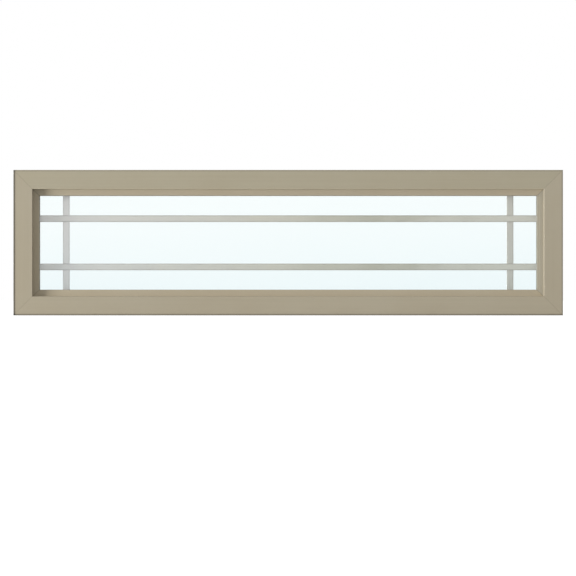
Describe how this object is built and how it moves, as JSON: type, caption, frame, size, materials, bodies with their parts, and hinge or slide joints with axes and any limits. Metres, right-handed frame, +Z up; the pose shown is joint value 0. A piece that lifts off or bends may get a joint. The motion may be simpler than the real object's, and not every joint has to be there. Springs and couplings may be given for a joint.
{
  "type": "decorative glass window",
  "caption": "Long low fixed window: mitred hollow vinyl frame, stepped glazing beads and sealed double glass with flat crossing bars between the sheets.",
  "frame": {"origin": "middle of the sill's underside, at half the frame's depth", "axes": "+X along the width, +Y from the front face to the back face, +Z up"},
  "size_m": [1.308, 0.0826, 0.3461],
  "materials": {
    "frame_vinyl": "satin tan vinyl",
    "bead_vinyl": "satin tan vinyl",
    "gasket": "soft extruded lip",
    "tape": "foam tape",
    "glass": "clear float glass",
    "spacer": "mill finish",
    "sealant": "cured sealant",
    "bar": "satin pale grey",
    "clip": "moulded",
    "setting_block": "firm rubber"
  },
  "bodies": {
    "root": {"back_pane": "glass", "bar_clip_left_bottom": "clip", "bar_clip_left_top": "clip", "bar_clip_lower_left": "clip", "bar_clip_lower_right": "clip", "bar_clip_right_bottom": "clip", "bar_clip_right_top": "clip", "bar_clip_upper_left": "clip", "bar_clip_upper_right": "clip", "bead_bottom": "bead_vinyl", "bead_gasket_bottom": "gasket", "bead_gasket_left": "gasket", "bead_gasket_right": "gasket", "bead_gasket_top": "gasket", "bead_left": "bead_vinyl", "bead_right": "bead_vinyl", "bead_top": "bead_vinyl", "edge_sealant": "sealant", "frame_head": "frame_vinyl", "frame_jamb_left": "frame_vinyl", "frame_jamb_right": "frame_vinyl", "frame_sill": "frame_vinyl", "front_pane": "glass", "glazing_tape_bottom": "tape", "glazing_tape_left": "tape", "glazing_tape_right": "tape", "glazing_tape_top": "tape", "grid_bar_left": "bar", "grid_bar_lower": "bar", "grid_bar_right": "bar", "grid_bar_upper": "bar", "setting_block_left": "setting_block", "setting_block_right": "setting_block", "spacer_bottom": "spacer", "spacer_left": "spacer", "spacer_right": "spacer", "spacer_top": "spacer"}
  },
  "joints": []
}
